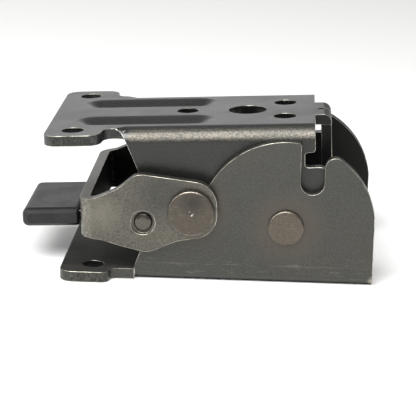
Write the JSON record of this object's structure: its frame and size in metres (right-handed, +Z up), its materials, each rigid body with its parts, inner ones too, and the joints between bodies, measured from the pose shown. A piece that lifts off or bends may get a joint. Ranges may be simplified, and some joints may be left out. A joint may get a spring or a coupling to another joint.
{
  "type": "self-locking folding leg bracket",
  "caption": "Folding leg bracket of nested sheet steel channels on a hinge rivet, with a sprung latch strap, round-headed lock pin and black pull grip, shown folded flat.",
  "frame": {"origin": "on the underside of the base plate, straight below the hinge axis, at mid width", "axes": "+X towards the hinge end and away from the grip, +Y towards the side with the plain lock pin cap, +Z up from the base plate to the leg plate"},
  "size_m": [0.1005, 0.0634, 0.0451],
  "materials": {
    "gunmetal_wall": "dark gunmetal, satin with fine grain",
    "gunmetal_plate": "dark gunmetal, smooth satin",
    "gunmetal_strap": "dark gunmetal, satin",
    "brown_steel_rivet": "browned steel, finely scratched",
    "zinc_sleeve": "zinc plated",
    "spring_wire": "bright drawn wire",
    "black_vinyl": "black satin dipped vinyl"
  },
  "bodies": {
    "base": {"base_channel": "gunmetal_wall", "hinge_rivet": "brown_steel_rivet"},
    "top": {"top_channel": "gunmetal_plate", "hinge_sleeve": "zinc_sleeve", "spring_near": "spring_wire", "spring_far": "spring_wire"},
    "latch": {"latch_strap": "gunmetal_strap", "grip_sheath": "black_vinyl", "lock_pin": "brown_steel_rivet", "lock_pin_cap": "brown_steel_rivet", "guide_stud_near": "gunmetal_strap", "guide_stud_far": "gunmetal_strap"}
  },
  "joints": [
    {"name": "fold", "type": "hinge", "parent": "base", "child": "top", "pos_m": [0, 0, 0.0166], "axis": [0, 1, 0], "range_deg": [0, 92.74]},
    {"name": "latch_pull", "type": "slide", "parent": "top", "child": "latch", "axis": [-0.9989, 0, -0.0478], "range_m": [0, 0.002], "stiffness_N_per_m": 800, "springref_m": -0.01, "deforming": ["spring_near", "spring_far"]}
  ]
}
